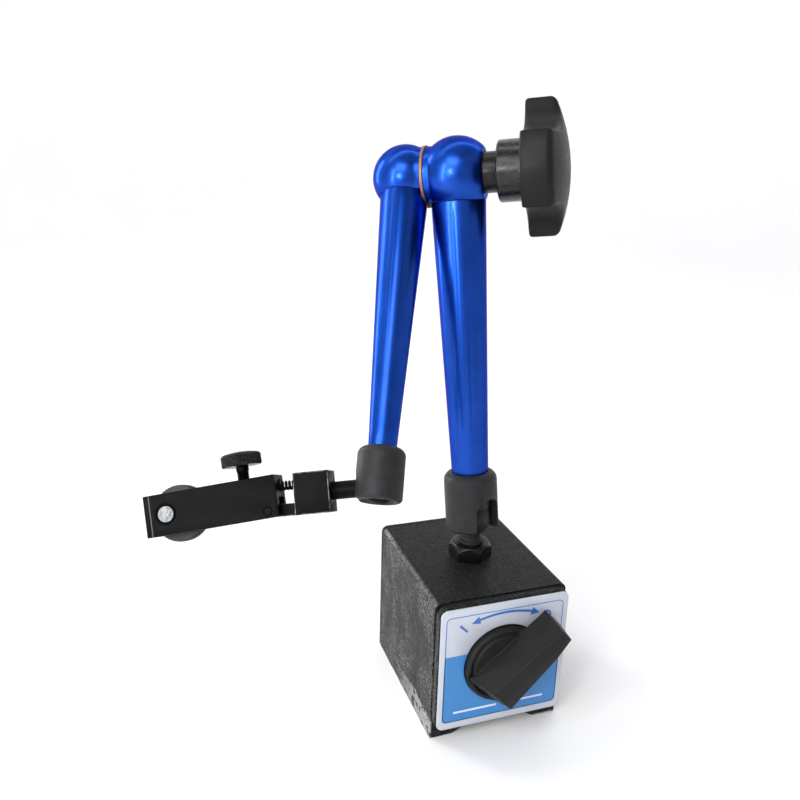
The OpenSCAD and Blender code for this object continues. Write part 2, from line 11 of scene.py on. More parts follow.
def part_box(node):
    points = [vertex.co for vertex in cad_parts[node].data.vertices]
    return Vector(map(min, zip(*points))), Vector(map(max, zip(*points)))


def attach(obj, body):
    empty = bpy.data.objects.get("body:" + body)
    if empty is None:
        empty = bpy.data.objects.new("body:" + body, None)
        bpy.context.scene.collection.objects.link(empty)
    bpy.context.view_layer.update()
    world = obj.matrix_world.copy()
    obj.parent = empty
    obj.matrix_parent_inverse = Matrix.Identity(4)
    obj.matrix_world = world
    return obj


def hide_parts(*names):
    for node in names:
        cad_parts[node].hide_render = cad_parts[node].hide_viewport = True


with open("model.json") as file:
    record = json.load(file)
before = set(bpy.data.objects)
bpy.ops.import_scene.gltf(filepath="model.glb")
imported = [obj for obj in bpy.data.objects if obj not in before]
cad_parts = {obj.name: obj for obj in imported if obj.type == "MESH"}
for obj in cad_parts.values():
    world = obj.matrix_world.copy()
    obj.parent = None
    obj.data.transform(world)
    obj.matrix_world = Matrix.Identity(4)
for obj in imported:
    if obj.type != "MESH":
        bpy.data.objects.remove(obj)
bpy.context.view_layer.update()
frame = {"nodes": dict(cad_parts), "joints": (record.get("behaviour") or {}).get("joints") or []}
MM = 0.001

WELD_GAP = 0.0005 * MM
FLAT_ANGLE = math.radians(0.5)
BEVEL_ANGLE = math.radians(35)
SMOOTH_ANGLE = math.radians(32)

# Camera: its place in metres, its heading from Y towards X, its dip and its roll
CAMERA_PLACE = Vector((-0.1157, -0.2483, 0.2043))
CAMERA_AZIMUTH = math.radians(19.25)
CAMERA_DOWN = math.radians(18.12)
CAMERA_ROLL = math.radians(1.53)
CAMERA_LENS = 36.2
CAMERA_SENSOR = 36


# ---------------------------------------------------------------- frames of the joints

def joint(name):
    return next(j for j in frame["joints"] if j["name"] == name)


def joint_place(name):
    return Vector(joint(name)["pos_m"])


def joint_axis(name):
    return Vector(joint(name)["axis"]).normalized()


def axes(origin, x_axis, y_axis):
    """Matrix of a frame from its origin, its x axis and a direction close to its y axis."""
    z_axis = x_axis.cross(y_axis).normalized()
    turn = Matrix((x_axis, z_axis.cross(x_axis), z_axis)).transposed().to_4x4()
    return Matrix.Translation(origin) @ turn


lower_ball = joint_place("post_tilt")
elbow = joint_place("elbow_turn")
elbow_axis = joint_axis("elbow_turn")
arm_up = (elbow - lower_ball).normalized()
elbow_frame = axes(elbow, elbow_axis, arm_up.cross(elbow_axis))
bar_y = -joint_axis("clamp_turn")
bar_z = -joint_axis("thumb_turn")
bar_x = bar_y.cross(bar_z)
thumb_frame = axes(joint_place("thumb_turn"), bar_x, bar_y)
clamp_frame = axes(joint_place("clamp_turn"), bar_x, bar_y)
head_frame = axes(joint_place("rod_roll"), joint_axis("rod_roll"), -joint_axis("fine_tilt"))
# Painted highlight on the clamp bar: a pale line round the bar, 4.9 mm past the clamp screw along
# the bar, in place of a chamfer's highlight.
BAR_HIGHLIGHT_PAST_SCREW = 4.9 * MM
BAR_HIGHLIGHT_LINE = joint_place("clamp_turn").dot(bar_x) + BAR_HIGHLIGHT_PAST_SCREW
along_x = Matrix.Rotation(math.radians(90), 4, "Y")
along_minus_y = Matrix.Rotation(math.radians(90), 4, "X")


# ---------------------------------------------------------------- materials

class Material:
    """A Principled material and short ways to add nodes to it."""

    def __init__(self, name, **values):
        self.material = bpy.data.materials.new(name)
        self.material.use_nodes = True
        self.tree = self.material.node_tree
        self.shader = self.tree.nodes["Principled BSDF"]
        for socket, value in values.items():
            self.shader.inputs[socket.replace("_", " ")].default_value = value
        self.place = self.add("ShaderNodeTexCoord").outputs["Object"]

    def add(self, kind, inputs=None, **settings):
        node = self.tree.nodes.new(kind)
        for name, value in settings.items():
            setattr(node, name, value)
        for socket, value in (inputs or {}).items():
            if isinstance(value, bpy.types.NodeSocket):
                self.tree.links.new(value, node.inputs[socket])
            else:
                node.inputs[socket].default_value = value
        return node

    def noise(self, size, detail=4.0, stretch=(1, 1, 1)):
        """Noise with features `size` metres across, longer along an axis with stretch above 1."""
        inputs = {"Vector": self.place, "Scale": [1 / s for s in stretch]}
        scale = self.add("ShaderNodeMapping", inputs)
        inputs = {"Vector": scale.outputs[0], "Scale": 1 / size, "Detail": detail}
        return self.add("ShaderNodeTexNoise", inputs).outputs["Fac"]

    def cells(self, size):
        inputs = {"Vector": self.place, "Scale": 1 / size}
        return self.add("ShaderNodeTexVoronoi", inputs, feature="SMOOTH_F1").outputs["Distance"]

    def steps(self, factor, *stops):
        """Grey ramp through (position, grey) stops."""
        ramp = self.add("ShaderNodeValToRGB", {"Fac": factor})
        points = ramp.color_ramp.elements
        while len(points) < len(stops):
            points.new(0.5)
        for point, (position, grey) in zip(points, stops):
            point.position = position
            point.color = (grey, grey, grey, 1)
        return ramp.outputs["Color"]

    def math(self, operation, *values):
        return self.add("ShaderNodeMath", dict(enumerate(values)), operation=operation).outputs[0]

    def blend(self, factor, first, second):
        node = self.add("ShaderNodeMix", {"Factor": factor}, data_type="RGBA")
        for index, value in ((6, first), (7, second)):
            if isinstance(value, bpy.types.NodeSocket):
                self.tree.links.new(value, node.inputs[index])
            else:
                node.inputs[index].default_value = tuple(value) + (1,)
        return node.outputs[2]

    def axis(self, name):
        return self.add("ShaderNodeSeparateXYZ", {0: self.place}).outputs[name]

    def rise(self, value, start, end):
        """0 below start and 1 above end, or the other way round if end is below start."""
        inputs = {"Value": value, "From Min": start, "From Max": end}
        return self.add("ShaderNodeMapRange", inputs, interpolation_type="SMOOTHSTEP").outputs[0]

    def drive(self, socket, source):
        self.tree.links.new(source, self.shader.inputs[socket])

    def bump(self, height, distance, strength=1.0):
        inputs = {"Height": height, "Distance": distance, "Strength": strength}
        if self.shader.inputs["Normal"].is_linked:
            inputs["Normal"] = self.shader.inputs["Normal"].links[0].from_socket
        self.drive("Normal", self.add("ShaderNodeBump", inputs).outputs[0])


PAINT_DARK = (0.004, 0.0045, 0.0045)
PAINT_LIGHT = (0.026, 0.027, 0.027)


def wrinkle_paint(name, worn):
    """Black wrinkle paint, rubbed through to iron along the body's edges and the foot."""
    look = Material(name, Specular_IOR_Level=0.12)
    low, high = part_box("pole_left")[0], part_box("pole_right")[1]
    grain = look.noise(0.9 * MM, 6)
    patches = look.noise(9 * MM, 5)
    paint = look.blend(look.steps(grain, (0.42, 0.0), (0.7, 1.0)), PAINT_DARK, PAINT_LIGHT)
    dust = look.steps(look.noise(0.8 * MM, 4), (0.46, 0.0), (0.62, 1.0))
    where = look.steps(look.noise(9 * MM, 6, (1, 1, 1.6)), (0.4, 0.08), (0.62, 0.9))
    dusty = look.math("MULTIPLY", dust, where)
    side = look.rise(look.axis("X"), low.x + 0.8 * MM, low.x + 0.2 * MM)
    paint = look.blend(look.math("MULTIPLY", dusty, side), paint, (0.15, 0.15, 0.145))
    iron = look.blend(look.noise(1.5 * MM), (0.2, 0.19, 0.18), (0.55, 0.54, 0.52))
    ragged = look.math("MULTIPLY", look.math("SUBTRACT", patches, 0.5), 9 * MM)
    foot = look.math("ADD", look.axis("Z"), ragged)
    sole = look.math("ADD", look.axis("Z"), look.math("MULTIPLY", ragged, 0.3))
    bare = look.rise(sole, 0.5 * MM, 0.2 * MM)
    if worn:
        half_depth = look.rise(look.axis("Y"), low.y + 44 * MM, low.y + 4 * MM)
        strip = look.rise(foot, 8.6 * MM, 8.0 * MM)
        strip = look.math("MULTIPLY", look.math("MULTIPLY", strip, side), half_depth)
        scraped = look.steps(look.noise(2.2 * MM, 6), (0.4, 0.0), (0.5, 1.0))
        bare = look.math("MAXIMUM", bare, look.math("MULTIPLY", strip, scraped))
        top_edge = look.math("SUBTRACT", look.axis("Z"), look.axis("X"))
        corner = look.rise(top_edge, high.z - low.x - 1.9 * MM, high.z - low.x - 1.1 * MM)
        back = look.rise(look.axis("Y"), high.y - 26 * MM, high.y - 2 * MM)
        chips = look.steps(look.noise(1.3 * MM, 6), (0.38, 0.0), (0.5, 1.0))
        chipped = look.math("MULTIPLY", corner, chips)
        rubbed = look.math("MULTIPLY", chipped, look.math("MAXIMUM", back, 0.35))
        bare = look.math("MAXIMUM", bare, rubbed)
    look.drive("Base Color", look.blend(bare, paint, iron))
    look.drive("Metallic", bare)
    look.drive("Roughness", look.math("MULTIPLY_ADD", look.noise(3 * MM), 0.25, 0.38))
    look.bump(look.cells(0.75 * MM), 0.12 * MM, 0.8)
    look.bump(look.noise(0.35 * MM, 3), 0.05 * MM, 0.6)
    return look.material


def black_steel(name, shade=0.002, rough=0.4, shine=0.06, highlight_line_at=None):
    """Chemically blacked steel with a little oil sheen and faint turning marks, and optionally a
    painted highlight line across it.
    """
    look = Material(name, Metallic=0.0, Specular_IOR_Level=shine)
    tone = look.noise(4 * MM, 5)
    dark = tuple(shade * c for c in (0.85, 0.85, 0.9))
    light = tuple(shade * c for c in (1.25, 1.25, 1.35))
    colour = look.blend(look.steps(tone, (0.35, 0.0), (0.7, 1.0)), dark, light)
    # Painted highlight: a thin pale line across the steel at the given distance along the bar,
    # standing in for the light caught on a chamfer's edge.
    if highlight_line_at is not None:
        inputs = {0: look.place, 1: bar_x}
        along = look.add("ShaderNodeVectorMath", inputs, operation="DOT_PRODUCT").outputs["Value"]
        offset = look.math("ABSOLUTE", look.math("SUBTRACT", along, highlight_line_at))
        colour = look.blend(look.rise(offset, 0.2 * MM, 0.1 * MM), colour, (0.12, 0.12, 0.125))
    look.drive("Base Color", colour)
    roughness = look.steps(look.noise(1.2 * MM, 4), (0.3, rough), (0.75, rough + 0.14))
    look.drive("Roughness", roughness)
    look.bump(look.noise(0.25 * MM, 3), 0.012 * MM, 0.5)
    return look.material


def worn_edge(name):
    """Steel showing through along a rubbed edge."""
    look = Material(name, Metallic=0.8, Roughness=0.42)
    rubbed = look.steps(look.noise(1.6 * MM, 5), (0.4, 0.0), (0.65, 1.0))
    look.drive("Base Color", look.blend(rubbed, (0.03, 0.03, 0.033), (0.3, 0.3, 0.32)))
    return look.material


def bright_steel(name, tint=(0.62, 0.62, 0.63), rough=0.28, dents=0.003 * MM):
    look = Material(name, Metallic=1.0)
    tone = look.noise(0.8 * MM, 5)
    look.drive("Base Color", look.blend(tone, tuple(0.7 * c for c in tint), tint))
    look.drive("Roughness", look.steps(look.noise(0.4 * MM, 4), (0.3, rough), (0.7, rough + 0.18)))
    look.bump(look.noise(0.15 * MM, 2), 0.006 * MM, 0.5)
    look.bump(look.cells(0.7 * MM), dents)
    return look.material


def blue_anodised(name):
    """Polished aluminium under a deep blue anodised film."""
    look = Material(name, Metallic=1.0, Coat_Weight=0.15, Coat_Roughness=0.12, Coat_IOR=1.5,
                    Specular_Tint=(0.2, 0.3, 0.6, 1))
    film = look.noise(14 * MM, 3)
    look.drive("Base Color", look.blend(look.steps(film, (0.3, 0.0), (0.7, 1.0)),
                                        (0.006, 0.05, 0.33), (0.01, 0.066, 0.42)))
    look.drive("Roughness", look.steps(look.noise(0.5 * MM, 3), (0.3, 0.29), (0.7, 0.35)))
    look.bump(look.noise(0.12 * MM, 2, (1, 1, 0.3)), 0.0015 * MM, 0.5)
    return look.material


def moulded_plastic(name, shade=0.012, rough=0.42, shine=0.18):
    look = Material(name, Specular_IOR_Level=shine)
    tone = look.noise(5 * MM, 4)
    dark = tuple(shade * c for c in (0.7, 0.7, 0.7))
    light = tuple(shade * c for c in (1.3, 1.3, 1.35))
    look.drive("Base Color", look.blend(tone, dark, light))
    dull = look.steps(look.noise(1.5 * MM, 4), (0.3, rough - 0.05), (0.7, rough + 0.08))
    look.drive("Roughness", dull)
    look.bump(look.noise(0.3 * MM, 3), 0.02 * MM, 0.5)
    return look.material


def printed(name, colour, rough=0.3, metallic=0.0):
    look = Material(name, Metallic=metallic, Coat_Weight=0.3, Coat_Roughness=0.15)
    speck = look.steps(look.noise(0.4 * MM, 3), (0.3, 0.0), (0.7, 1.0))
    look.drive("Base Color", look.blend(speck, tuple(0.92 * c for c in colour), colour))
    look.drive("Roughness", look.steps(look.noise(6 * MM, 3), (0.3, rough), (0.7, rough + 0.1)))
    look.bump(look.noise(0.9 * MM, 2), 0.004 * MM, 0.4)
    return look.material


def spacer_brass(name):
    """Brass, painted over where it reaches the top of the body."""
    look = Material(name, Specular_IOR_Level=0.1)
    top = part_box("brass_spacer_upper")[1].z
    painted = look.rise(look.axis("Z"), top - 0.9 * MM, top - 0.7 * MM)
    brass = look.blend(look.noise(1.0 * MM, 5), (0.45, 0.3, 0.11), (0.7, 0.5, 0.22))
    paint = look.blend(look.noise(0.9 * MM, 6), PAINT_DARK, PAINT_LIGHT)
    look.drive("Base Color", look.blend(painted, brass, paint))
    look.drive("Metallic", look.math("SUBTRACT", 1.0, painted))
    look.drive("Roughness", look.steps(look.noise(1.2 * MM), (0.3, 0.35), (0.7, 0.5)))
    look.bump(look.cells(0.75 * MM), 0.08 * MM, 0.5)
    return look.material


paint_worn = wrinkle_paint("wrinkle_paint_worn", True)
paint = wrinkle_paint("wrinkle_paint", False)
black = black_steel("black_oxide")
socket_black = black_steel("black_oxide_satin", 0.018, 0.42, 0.2)
nut_black = black_steel("black_oxide_nut", 0.003, 0.26, 0.28)
knurl_black = black_steel("black_oxide_knurl", 0.004, 0.26, 0.28)
edge_wear = worn_edge("worn_edge")
steel = bright_steel("ground_steel")
pin_steel = bright_steel("peened_steel", (0.36, 0.37, 0.38), 0.4, 0.3 * MM)
zinc = bright_steel("zinc", (0.5, 0.5, 0.53), 0.35)
brass = bright_steel("machined_brass", (0.72, 0.52, 0.22), 0.3)
copper = bright_steel("copper", (0.35, 0.2, 0.16), 0.48)
magnet = black_steel("ferrite", 0.06, 0.6)
blue = blue_anodised("blue_anodised")
plastic = moulded_plastic("knob_plastic", 0.007)
hub_plastic = moulded_plastic("knob_hub_plastic", 0.004, 0.24, 0.4)
handle_plastic = moulded_plastic("handle_plastic", 0.011, 0.5)
label_white = printed("label_silver_white", (0.5, 0.53, 0.6), 0.34, 0.15)
label_blue = printed("label_blue", (0.02, 0.19, 0.5))
label_ink = printed("label_ink", (0.02, 0.12, 0.42))
label_line = printed("label_pale_line", (0.62, 0.68, 0.85))


# ---------------------------------------------------------------- CAD nodes

def smooth_group():
    """Shades a mesh smooth, with hard edges where faces meet at more than SMOOTH_ANGLE."""
    group = bpy.data.node_groups.new("smooth_by_angle", "GeometryNodeTree")
    group.interface.new_socket("Geometry", in_out="INPUT", socket_type="NodeSocketGeometry")
    group.interface.new_socket("Geometry", in_out="OUTPUT", socket_type="NodeSocketGeometry")
    nodes = group.nodes
    start = nodes.new("NodeGroupInput")
    end = nodes.new("NodeGroupOutput")
    angle = nodes.new("GeometryNodeInputMeshEdgeAngle")
    sharp = nodes.new("FunctionNodeCompare")
    sharp.operation = "GREATER_THAN"
    sharp.inputs["B"].default_value = SMOOTH_ANGLE
    normals = nodes.new("GeometryNodeSetMeshNormal")
    normals.inputs["Remove Custom"].default_value = True
    group.links.new(angle.outputs["Unsigned Angle"], sharp.inputs["A"])
    group.links.new(start.outputs[0], normals.inputs["Mesh"])
    group.links.new(sharp.outputs[0], normals.inputs["Edge Sharpness"])
    group.links.new(normals.outputs[0], end.inputs[0])
    return group


SMOOTH = smooth_group()


def soften(obj, width, edge_slot=0):
    """Joins a CAD mesh's split corners, then rounds its edges by a width in metres."""
    weld = obj.modifiers.new("weld", "WELD")
    weld.merge_threshold = WELD_GAP
    if width:
        flat = obj.modifiers.new("flat", "DECIMATE")
        flat.decimate_type = "DISSOLVE"
        flat.angle_limit = FLAT_ANGLE
        bevel = obj.modifiers.new("bevel", "BEVEL")
        bevel.width = width
        bevel.segments = 3
        bevel.limit_method = "ANGLE"
        bevel.angle_limit = BEVEL_ANGLE
        bevel.use_clamp_overlap = False
        bevel.material = edge_slot
    smooth = obj.modifiers.new("smooth", "NODES")
    smooth.node_group = SMOOTH


def finish_node(name, material, width=0.0, edge=None):
    obj = frame["nodes"][name]
    obj.data.materials.clear()
    obj.data.materials.append(material)
    if edge:
        obj.data.materials.append(edge)
    soften(obj, width, 1 if edge else 0)


finish_node("pole_left", paint_worn)
finish_node("pole_right", paint_worn)
finish_node("brass_spacer_upper", spacer_brass("spacer_brass"))
finish_node("brass_spacer_lower", brass)
finish_node("front_cover", paint, 0.6 * MM)
finish_node("back_cover", paint, 0.5 * MM)
finish_node("label_plate", label_white, 0.12 * MM)
finish_node("switch_knob", handle_plastic, 0.35 * MM)
finish_node("stud_nut", nut_black, 0.25 * MM)
finish_node("ball_stud", socket_black, 0.2 * MM)
finish_node("lower_socket", socket_black, 0.3 * MM)
finish_node("upper_socket", socket_black, 0.3 * MM)
finish_node("lower_arm_tube", blue, 0.15 * MM)
finish_node("upper_arm_tube", blue, 0.15 * MM)
finish_node("lower_elbow_head", blue, 0.2 * MM)
finish_node("upper_elbow_head", blue, 0.2 * MM)
finish_node("elbow_washer", copper, 0.1 * MM)
finish_node("wedge_bush", nut_black, 0.3 * MM)
finish_node("ball_rod", black, 0.2 * MM)
finish_node("rear_block", black, 0.3 * MM, edge_wear)
# Clamp bar in black oxide, with a painted highlight line near its end.
finish_node("clamp_bar", black_steel("black_oxide_bar_painted_highlight", highlight_line_at=BAR_HIGHLIGHT_LINE), 0.3 * MM)
finish_node("clamp_screw", pin_steel)
finish_node("hinge_pin", black, 0.1 * MM)
finish_node("lower_ball_seat", socket_black)
finish_node("upper_ball_seat", socket_black)
for node_name in ("front_cover_screws", "stop_pin", "rotor_pole_segments", "rotor_spindle",
                  "lower_push_rod", "draw_bolt", "upper_push_rod"):
    finish_node(node_name, steel)
finish_node("rotor_magnet", magnet)
finish_node("knob_insert", brass)
finish_node("knob_grub_screw", black)


# ---------------------------------------------------------------- mesh helpers

def new_piece(name, mesh, body, material):
    obj = bpy.data.objects.new(name, mesh)
    bpy.context.scene.collection.objects.link(obj)
    mesh.materials.append(material)
    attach(obj, body)
    return obj


def loft(name, rings, place=Matrix(), open_end=False):
    """Mesh through rings of equal length, each a list of points, capped at its ends."""
    mesh = bpy.data.meshes.new(name)
    build = bmesh.new()
    layers = [[build.verts.new(place @ Vector(p)) for p in ring] for ring in rings]
    count = len(rings[0])
    for low, high in zip(layers, layers[1:]):
        for i in range(count):
            after = (i + 1) % count
            build.faces.new((low[i], low[after], high[after], high[i]))
    build.faces.new(reversed(layers[0]))
    if not open_end:
        build.faces.new(layers[-1])
    bmesh.ops.recalc_face_normals(build, faces=build.faces)
    build.to_mesh(mesh)
    build.free()
    return mesh


def smooth_shade(obj):
    for face in obj.data.polygons:
        face.use_smooth = True
    modifier = obj.modifiers.new("smooth", "NODES")
    modifier.node_group = SMOOTH


def stand_in(node, name, mesh, body, material):
    """Smooth piece that takes a CAD node's place."""
    obj = new_piece(name, mesh, body, material)
    smooth_shade(obj)
    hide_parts(node)


def circle(radius, height, count=96):
    turn = 2 * math.pi / count
    return [(radius * math.cos(i * turn), radius * math.sin(i * turn), height)
            for i in range(count)]


def rounding(steps=5):
    """Pairs of (inset, drop) along a quarter round of radius 1, from its side to its top."""
    angles = [math.pi / 2 * i / steps for i in range(steps + 1)]
    return [(1 - math.cos(a), 1 - math.sin(a)) for a in angles]


def prism(name, outlines, front, thickness):
    """Thin plates with (x, z) outlines, whose faces towards the switch side lie at y = front."""
    mesh = bpy.data.meshes.new(name)
    build = bmesh.new()
    for outline in outlines:
        face = build.faces.new([build.verts.new((x, front + thickness, z)) for x, z in outline])
        extruded = bmesh.ops.extrude_face_region(build, geom=[face])["geom"]
        moved = [v for v in extruded if isinstance(v, bmesh.types.BMVert)]
        bmesh.ops.translate(build, verts=moved, vec=(0, -thickness, 0))
    bmesh.ops.triangulate(build, faces=[f for f in build.faces if len(f.verts) > 4])
    bmesh.ops.recalc_face_normals(build, faces=build.faces)
    build.to_mesh(mesh)
    build.free()
    return mesh


# ---------------------------------------------------------------- star knob

LOBE_TURN = math.radians(-87)
STAR_R = 22.2 * MM
VALLEY_CENTRE = 30.5 * MM
VALLEY_CUT_R = 15 * MM
LOBE_BLEND = 3.2 * MM
HUB_R = 10.2 * MM
HUB_START = 14.35 * MM
HUB_END = 23.6 * MM
STAR_END = 37.7 * MM
DOME_R = 57.6 * MM
INSERT_R = 6.5 * MM
INSERT_END = 32 * MM
STAR_COUNT = 216


def star_radius(angle):
    """Outline of the three lobes: a circle, blended softly into the valleys between them."""
    off = (angle - math.pi / 3) % (2 * math.pi / 3)
    off = min(off, 2 * math.pi / 3 - off)
    reach = VALLEY_CUT_R ** 2 - (VALLEY_CENTRE * math.sin(off)) ** 2
    if reach <= 0:
        return STAR_R
    valley = VALLEY_CENTRE * math.cos(off) - math.sqrt(reach)
    mix = max(0.0, min(1.0, 0.5 + (STAR_R - valley) / LOBE_BLEND / 2))
    return min(STAR_R, STAR_R * (1 - mix) + valley * mix - LOBE_BLEND * mix * (1 - mix) * 0.5)


def star_ring(inset, height):
    """Ring on the star's outline, moved in by an inset; the height may depend on the radius."""
    ring = []
    for i in range(STAR_COUNT):
        angle = 2 * math.pi * i / STAR_COUNT
        radius = star_radius(angle) - inset
        level = height(radius) if callable(height) else height
        ring.append((radius * math.cos(angle), radius * math.sin(angle), level))
    return ring


def dome(radius):
    return STAR_END - DOME_R + math.sqrt(DOME_R ** 2 - radius ** 2)


def star_knob():
    back_round = 1.2 * MM
    front_round = 1.6 * MM
    hub_round = 0.7 * MM
    plain = [(0.3 * MM, INSERT_END), (INSERT_R, INSERT_END), (INSERT_R, HUB_START)]
    plain += [(HUB_R - hub_round * inset, HUB_START + hub_round * drop)
              for inset, drop in reversed(rounding())]
    plain += [(HUB_R, HUB_END - 1.6 * MM), (HUB_R + 0.25 * MM, HUB_END - 0.7 * MM)]
    plain += [(HUB_R + 0.8 * MM, HUB_END - 0.15 * MM), (HUB_R + 1.8 * MM, HUB_END)]
    rings = [circle(radius, height, STAR_COUNT) for radius, height in plain]
    rings += [star_ring(back_round * inset, HUB_END + back_round * drop)
              for inset, drop in reversed(rounding())]
    for inset, drop in rounding(7):
        rings.append(star_ring(front_round * inset,
                               lambda radius, sunk=drop: dome(radius) - front_round * sunk))
    outer = rings[-1]
    for share in (0.9, 0.75, 0.6, 0.45, 0.3, 0.15, 0.02):
        rings.append([(x * share, y * share, dome(math.hypot(x, y) * share)) for x, y, _ in outer])
    turned = elbow_frame @ Matrix.Rotation(LOBE_TURN, 4, "X") @ along_x
    mesh = loft("star_knob_moulded", rings, turned)
    obj = new_piece("star_knob_moulded", mesh, "star", plastic)
    obj.data.materials.append(hub_plastic)
    hub_end = elbow.dot(elbow_axis) + HUB_END - 0.1 * MM
    for face in obj.data.polygons:
        along = face.center.dot(elbow_axis)
        off_axis = (face.center - elbow).cross(elbow_axis).length
        if along < hub_end and off_axis < HUB_R + 1.9 * MM:
            face.material_index = 1
    smooth_shade(obj)
    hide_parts("star_knob")


star_knob()


# ---------------------------------------------------------------- knurled knobs and screws

KNURL_DEPTH = 0.42 * MM
KNURL_PITCH = 1.1 * MM
KNURL_CHAMFER = 0.35 * MM


def triangle_wave(value):
    return abs((value % 1) * 2 - 1)


def knurl_ring(radius, height, start, teeth, count):
    """Ring with a diamond knurl, whose grooves run both ways round."""
    ring = []
    for i in range(count):
        angle = 2 * math.pi * i / count
        across = teeth * i / count
        along = (height - start) / KNURL_PITCH
        peak = min(triangle_wave(across + along), triangle_wave(across - along))
        r = radius - KNURL_DEPTH * (1 - peak)
        ring.append((r * math.cos(angle), r * math.sin(angle), height))
    return ring


def knurled_band(radius, low, high, teeth, count, rows):
    """Rings of a knurled side, with chamfered ends."""
    rings = []
    for i in range(rows + 1):
        height = low + (high - low) * i / rows
        inset = max(0.0, KNURL_CHAMFER - min(height - low, high - height))
        rings.append(knurl_ring(radius - inset, height, low, teeth, count))
    return rings


THUMB_NECK = 10.9 * MM
THUMB_R = 6.4 * MM
THUMB_H = 4.7 * MM
THUMB_CROWN_R = 22 * MM
THUMB_TEETH = 36
THUMB_SCREW_R = 2 * MM
THUMB_SCREW_TIP = -1.85 * MM
THREAD_DEPTH = 0.38 * MM
THREAD_PITCH = 0.7 * MM
THREAD_ROWS_PER_TURN = 8
TURN_GAP = 0.05 * MM


def thumb_knob():
    low = THUMB_NECK + TURN_GAP
    count = 288
    crown = low + THUMB_H - THUMB_CROWN_R
    side_top = crown + math.sqrt(THUMB_CROWN_R ** 2 - THUMB_R ** 2)
    plain = [(0.1 * MM, low + 3 * MM), (1.45 * MM, low + 3 * MM), (1.45 * MM, low),
             (5.0 * MM, low), (5.7 * MM, low)]
    rings = [circle(radius, height, count) for radius, height in plain]
    rings += knurled_band(THUMB_R, low, side_top, THUMB_TEETH, count, 30)
    for radius in (5.6, 5.1, 4.4, 3.4, 2.2, 1.0, 0.1):
        height = crown + math.sqrt(THUMB_CROWN_R ** 2 - (radius * MM) ** 2)
        rings.append(circle(radius * MM, height, count))
    stand_in("thumb_knob", "thumb_knob_knurled", loft("thumb_knob_knurled", rings, thumb_frame),
             "thumb_head", knurl_black)


def thread_rings(radius, low, high, count):
    """Rings of a screw thread, which fades out at both ends."""
    rings = []
    rows = round((high - low) / THREAD_PITCH * THREAD_ROWS_PER_TURN)
    for row in range(rows + 1):
        height = low + (high - low) * row / rows
        fade = min(1.0, (height - low) / THREAD_PITCH, (high - height) / THREAD_PITCH)
        ring = []
        for i in range(count):
            angle = 2 * math.pi * i / count
            groove = 1 - triangle_wave(height / THREAD_PITCH - i / count)
            r = radius - THREAD_DEPTH * groove * fade
            ring.append((r * math.cos(angle), r * math.sin(angle), height))
        rings.append(ring)
    return rings


def thumb_screw():
    count = 48
    radius = THUMB_SCREW_R
    tip = THUMB_SCREW_TIP
    rings = [circle(r, height, count)
             for r, height in ((0.3 * MM, tip), (1 * MM, tip), (radius, tip + 1 * MM))]
    rings += thread_rings(radius, tip + 1.1 * MM, THUMB_NECK - 1.2 * MM, count)
    plain = [(radius, THUMB_NECK - 0.2 * MM), (radius - 0.2 * MM, THUMB_NECK),
             (1.4 * MM, THUMB_NECK), (1.4 * MM, THUMB_NECK + 2.9 * MM),
             (0.1 * MM, THUMB_NECK + 2.9 * MM)]
    rings += [circle(r, height, count) for r, height in plain]
    stand_in("thumb_screw", "thumb_screw_threaded",
             loft("thumb_screw_threaded", rings, thumb_frame),
             "thumb_stem", black)


CLAMP_KNOB_FACE = 5.6 * MM
CLAMP_KNOB_R = 9.3 * MM
CLAMP_KNOB_T = 5 * MM
CLAMP_KNOB_TEETH = 52


def clamp_knob():
    """Knurled disc behind the bar, with a dished outer face round a low boss."""
    count = 384
    low = CLAMP_KNOB_FACE + TURN_GAP
    high = CLAMP_KNOB_FACE + CLAMP_KNOB_T
    inner = [(0.1 * MM, low + 3.5 * MM), (1.95 * MM, low + 3.5 * MM), (1.95 * MM, low),
             (7.6 * MM, low), (8.5 * MM, low)]
    rings = [circle(radius, height, count) for radius, height in inner]
    rings += knurled_band(CLAMP_KNOB_R, low, high, CLAMP_KNOB_TEETH, count, 32)
    dished = [(8.4, 0), (7.6, 0), (7.2, 0.5), (4.4, 0.5), (4.1, 0.1), (3.8, 0.05), (0.1, 0)]
    rings += [circle(radius * MM, high - sunk * MM, count) for radius, sunk in dished]
    turned = clamp_frame @ along_minus_y
    stand_in("clamp_knob", "clamp_knob_knurled", loft("clamp_knob_knurled", rings, turned),
             "clamp_head", knurl_black)


thumb_knob()
thumb_screw()
clamp_knob()


# ---------------------------------------------------------------- preload spring

SPRING_Z = 3 * MM
SPRING_START = 22.9 * MM
SPRING_END = 32.6 * MM
SPRING_R = 1.13 * MM
SPRING_WIRE = 0.44 * MM
SPRING_TURNS = 8


def preload_spring():
    rings = []
    per_turn = 20
    length = SPRING_END - SPRING_START - 2 * SPRING_WIRE
    ahead = Vector((1, 0, 0))
    for step in range(SPRING_TURNS * per_turn + 1):
        turn = step / per_turn
        angle = 2 * math.pi * turn
        along = SPRING_START + SPRING_WIRE + length * turn / SPRING_TURNS
        out = Vector((0, math.cos(angle), math.sin(angle)))
        centre = Vector((along, 0, SPRING_Z)) + out * SPRING_R
        ring = []
        for i in range(10):
            round_wire = 2 * math.pi * i / 10
            way = out * math.cos(round_wire) + ahead * math.sin(round_wire)
            ring.append(centre + way * SPRING_WIRE)
        rings.append(ring)
    stand_in("preload_spring", "preload_spring_coil",
             loft("preload_spring_coil", rings, head_frame), "head", black)


preload_spring()


# ---------------------------------------------------------------- back cover screws

def hexagon(radius, height, count):
    """Ring on a hexagon whose corners lie at the radius."""
    ring = []
    for i in range(count):
        angle = 2 * math.pi * i / count
        r = radius * math.cos(math.pi / 6) / math.cos((angle % (math.pi / 3)) - math.pi / 6)
        ring.append((r * math.cos(angle), r * math.sin(angle), height))
    return ring


SCREW_HEAD_R = 2.8 * MM
SCREW_SHANK_R = 1.5 * MM


